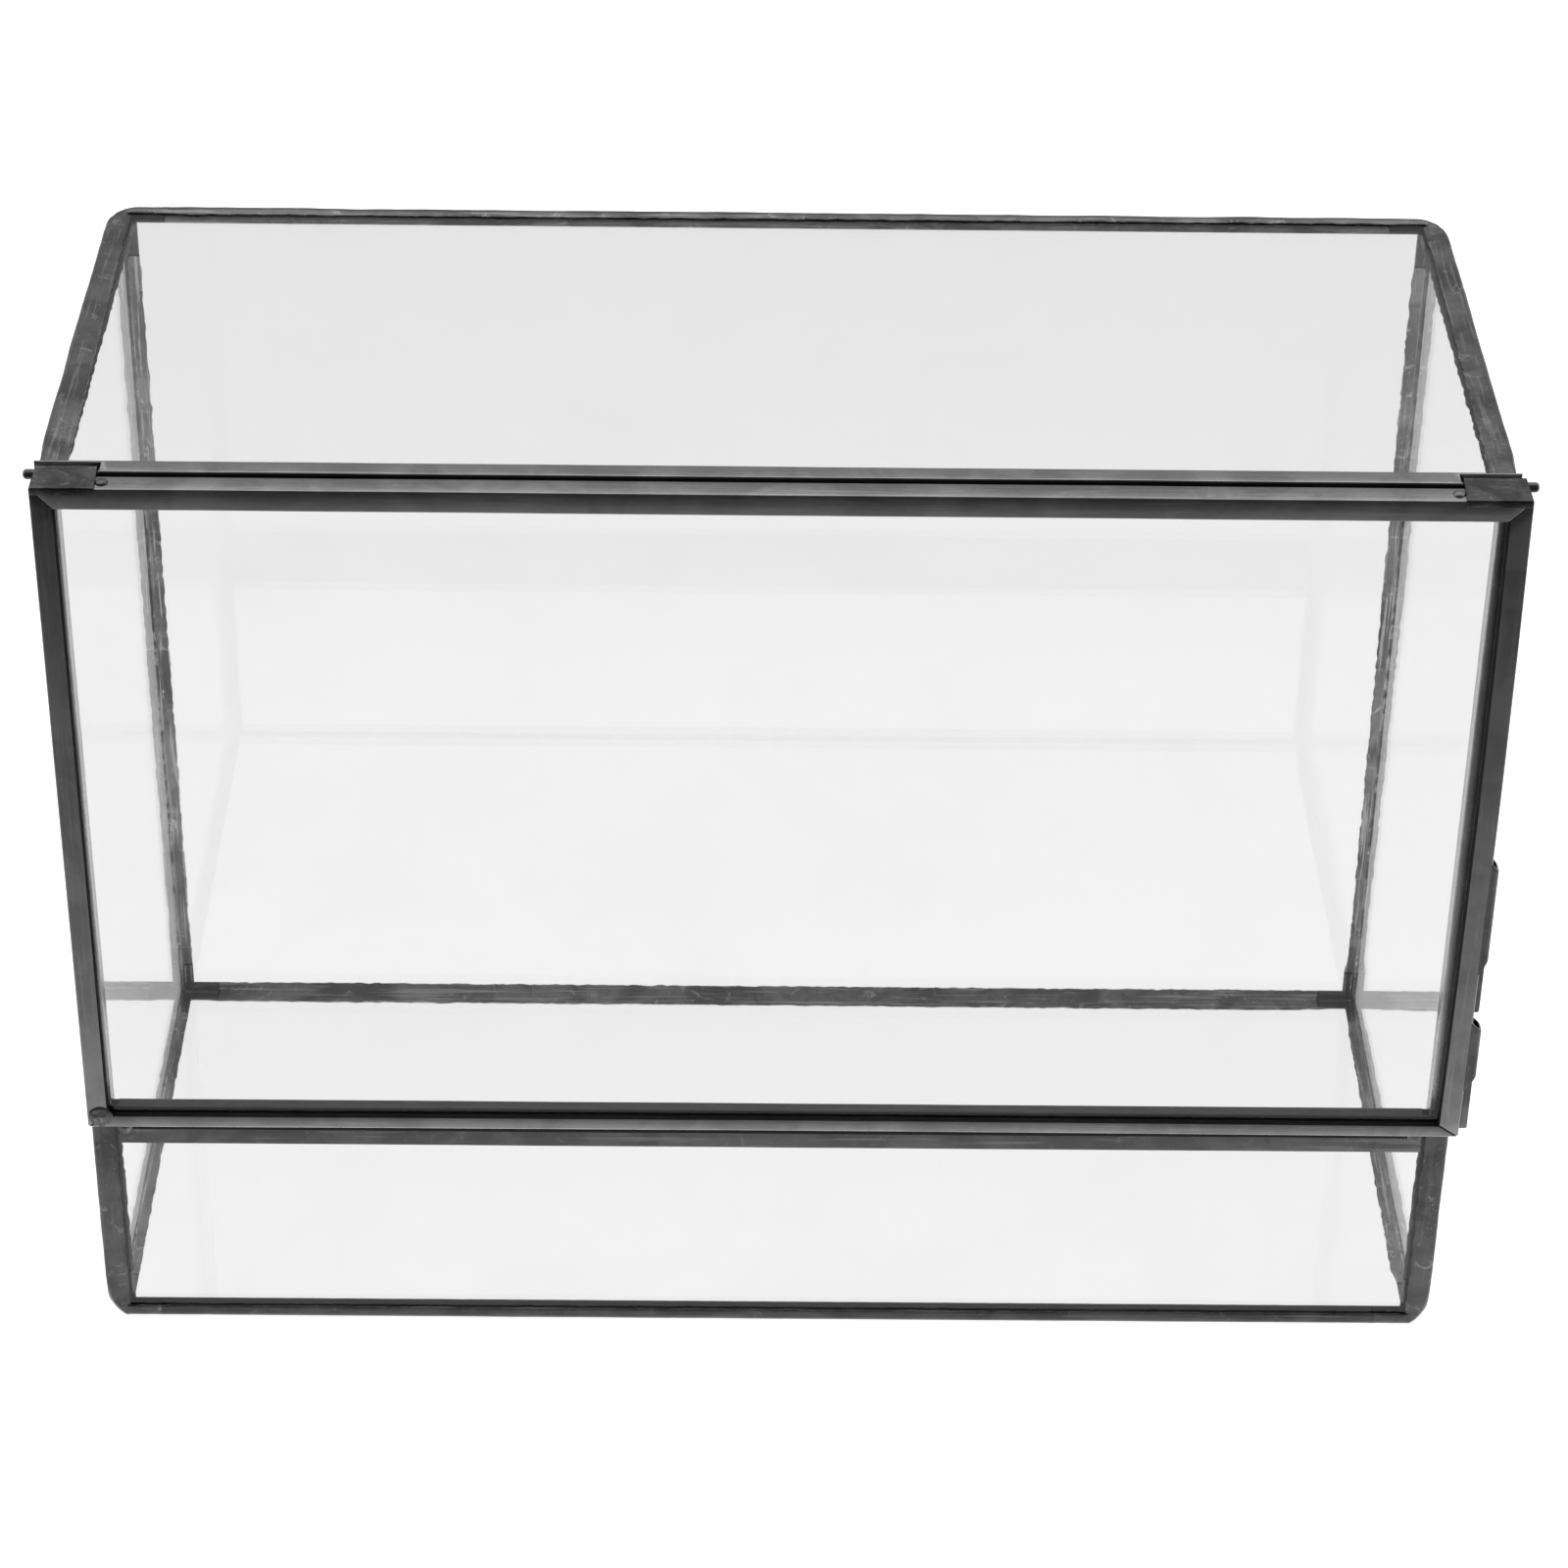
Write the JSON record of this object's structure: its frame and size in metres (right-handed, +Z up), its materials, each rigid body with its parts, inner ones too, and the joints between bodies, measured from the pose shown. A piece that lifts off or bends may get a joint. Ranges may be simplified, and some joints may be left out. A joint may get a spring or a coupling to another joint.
{
  "type": "glass terrarium case",
  "caption": "Rectangular glass display case of soldered panes with a framed front door hinged along its top edge and spring clips on one side.",
  "frame": {"origin": "middle of the underside of the whole object, hinge rod and clips included", "axes": "+X to the object's right as seen from its front, +Y from its front to its back, +Z up"},
  "size_m": [0.3026, 0.1328, 0.2187],
  "materials": {
    "glass": "clear, polished",
    "solder": "hand-soldered bead with black patina, satin",
    "came": "smooth drawn channel with black patina, satin",
    "sheet": "folded sheet with black patina, satin",
    "rod": "darkened wire, satin"
  },
  "bodies": {
    "case": {"glass_back": "glass", "glass_left": "glass", "glass_right": "glass", "glass_bottom": "glass", "glass_top": "glass", "glass_front_lower": "glass", "seam_back_top": "solder", "seam_back_bottom": "solder", "seam_bottom_front": "solder", "seam_top_left": "solder", "seam_top_right": "solder", "seam_bottom_left": "solder", "seam_bottom_right": "solder", "seam_back_left": "solder", "seam_back_right": "solder", "seam_front_left": "solder", "seam_front_right": "solder", "corner_bottom_front_left": "solder", "corner_bottom_front_right": "solder", "corner_bottom_back_left": "solder", "corner_bottom_back_right": "solder", "corner_top_back_left": "solder", "corner_top_back_right": "solder", "foil_top_front": "solder", "came_top_front": "came", "came_sill": "came", "came_opening_left": "came", "came_opening_right": "came", "solder_sill_left": "solder", "solder_sill_right": "solder"},
    "door": {"door_rail_top": "came", "door_rail_bottom": "came", "door_rail_left": "came", "door_rail_right": "came", "door_glass": "glass", "hinge_rod": "rod", "hinge_knuckle_left": "sheet", "hinge_knuckle_right": "sheet", "solder_tack_left": "solder", "solder_tack_right": "solder", "solder_door_corner": "solder", "latch_clip_upper": "sheet", "latch_clip_lower": "sheet"}
  },
  "joints": [
    {"name": "door_hinge", "type": "hinge", "parent": "case", "child": "door", "pos_m": [0, -0.0577, 0.21675], "axis": [-1, 0, 0], "range_deg": [0, 95]}
  ]
}
